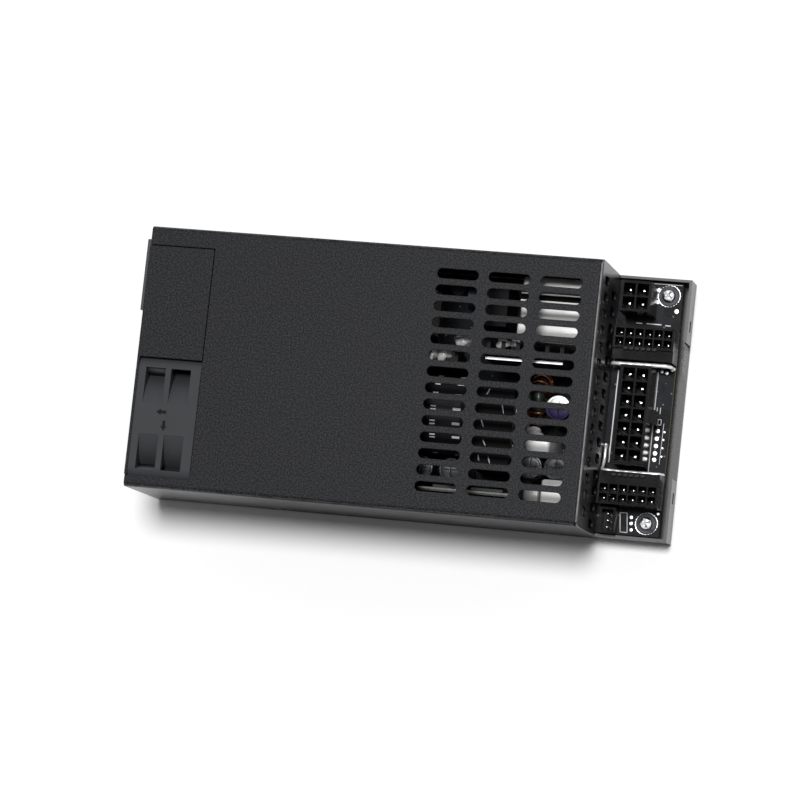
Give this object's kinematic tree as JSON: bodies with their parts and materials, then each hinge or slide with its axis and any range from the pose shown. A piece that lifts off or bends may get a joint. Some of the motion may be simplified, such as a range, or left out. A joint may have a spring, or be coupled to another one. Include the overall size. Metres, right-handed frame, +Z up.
{
  "type": "computer power supply",
  "caption": "Narrow 1U computer power supply: folded black steel case, vent slots, rear fan and mains inlet, and an open shelf with plug-in output headers.",
  "frame": {"origin": "centre of the bounding box at floor level", "axes": "+X from the rear panel with the fan to the header shelf, +Y towards the inlet's side, +Z up"},
  "size_m": [0.1676, 0.0816, 0.0405],
  "materials": {
    "case_black": "fine-textured matt black powder coat",
    "screw_black": "black oxide",
    "screw_zinc": "bright zinc plating",
    "fan_plastic": "moulded, faintly grained",
    "rotor_plastic": "moulded, satin",
    "magnet": "plastic-bonded ferrite, matt",
    "bearing_bronze": "sintered, oiled",
    "steel": "ground steel",
    "copper": "enamelled copper wire",
    "inlet_plastic": "glass-filled moulding, satin",
    "pin_tin": "tin plating",
    "wire_black": "extruded insulation",
    "board_black": "glossy black solder mask",
    "board_green": "glossy green solder mask",
    "header_black": "moulded, satin",
    "header_white": "moulded, satin",
    "insulation": "thin translucent sheet",
    "ferrite": "sintered ferrite, matt",
    "winding_tape": "pale polyester tape",
    "bobbin_black": "moulded",
    "core_paint": "epoxy-coated powder core",
    "aluminium": "rolled sheet",
    "device_black": "moulded epoxy",
    "sleeve_black": "shrunk sleeve",
    "sleeve_violet": "printed aluminium can",
    "film_grey": "potted box",
    "film_cream": "pale potted box",
    "disc_blue": "dipped epoxy",
    "fuse_white": "ceramic tube",
    "relay_black": "moulded case"
  },
  "bodies": {
    "case": {"ac_inlet": "inlet_plastic", "base_chassis": "case_black", "bobbin_feet": "bobbin_black", "boost_choke_core": "ferrite", "boost_choke_winding": "winding_tape", "bridge_rectifier": "device_black", "bulk_capacitor": "sleeve_black", "bus_bars": "copper", "controller_card": "board_green", "cover_screws": "screw_black", "disc_capacitors": "disc_blue", "fan_bearings": "bearing_bronze", "fan_frame": "fan_plastic", "fan_lead": "wire_black", "fan_motor_board": "board_green", "fan_plug": "header_white", "fan_screws": "screw_black", "fan_stator": "copper", "fuse_caps": "pin_tin", "fuse_tube": "fuse_white", "header_12_way_lower": "header_black", "header_12_way_lower_pins": "pin_tin", "header_12_way_upper": "header_black", "header_12_way_upper_pins": "pin_tin", "header_14_way": "header_black", "header_14_way_pins": "pin_tin", "header_3_way": "header_black", "header_3_way_pins": "pin_tin", "header_4_way": "header_black", "header_4_way_pins": "pin_tin", "inlet_pins": "pin_tin", "inlet_wires": "wire_black", "inrush_relay": "relay_black", "insulation_sheet": "insulation", "interference_capacitors": "film_grey", "line_choke_core": "core_paint", "line_choke_windings": "copper", "main_board": "board_black", "main_board_screws": "screw_zinc", "main_board_standoffs": "steel", "main_transformer_core": "ferrite", "main_transformer_winding": "winding_tape", "output_board": "board_black", "output_board_screws": "screw_zinc", "output_board_standoffs": "steel", "output_capacitors": "sleeve_black", "output_choke_core": "core_paint", "output_choke_winding": "copper", "output_film_capacitors": "film_cream", "output_rectifiers": "device_black", "polymer_capacitor": "sleeve_violet", "power_transistors": "device_black", "primary_heatsink": "aluminium", "secondary_heatsink": "aluminium", "standby_transformer_core": "ferrite", "standby_transformer_winding": "winding_tape", "top_cover": "case_black"},
    "rotor": {"fan_rotor": "rotor_plastic", "fan_magnet_ring": "magnet", "fan_shaft": "steel"}
  },
  "joints": [
    {"name": "fan_spin", "type": "hinge", "parent": "case", "child": "rotor", "pos_m": [-0.0707, -0.0192, 0.02025], "axis": [1, 0, 0], "continuous": true}
  ]
}
